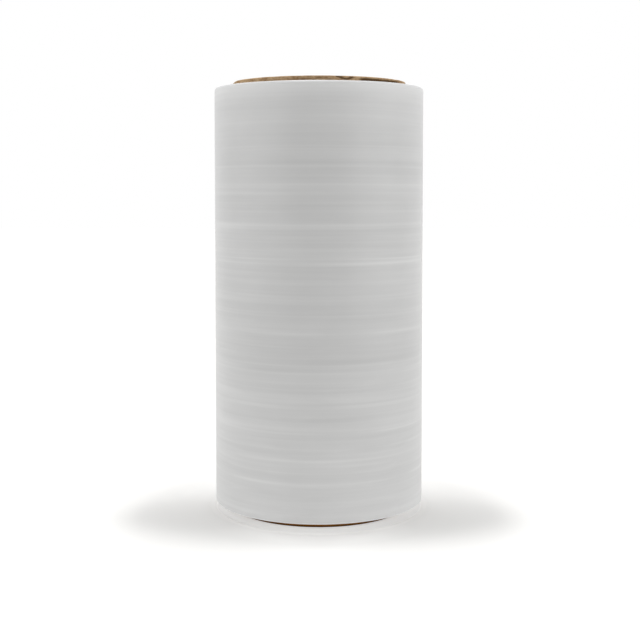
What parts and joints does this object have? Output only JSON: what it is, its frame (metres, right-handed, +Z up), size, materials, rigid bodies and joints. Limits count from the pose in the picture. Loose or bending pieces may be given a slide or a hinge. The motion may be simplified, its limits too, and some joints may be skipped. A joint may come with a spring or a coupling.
{
  "type": "stretch wrap roll",
  "caption": "Hand roll of clear stretch wrap: film wound on a paperboard core tube that stands out at both ends, standing on one end.",
  "frame": {"origin": "centre of the core's lower rim, on the surface that the roll stands on", "axes": "+Z up along the roll's axis; the side seen from -Y is the front"},
  "size_m": [0.1018, 0.1018, 0.2063],
  "materials": {
    "core_board": "matte",
    "wrap_film": "satin"
  },
  "bodies": {
    "root": {"core_tube": "core_board", "film_roll": "wrap_film"}
  },
  "joints": []
}
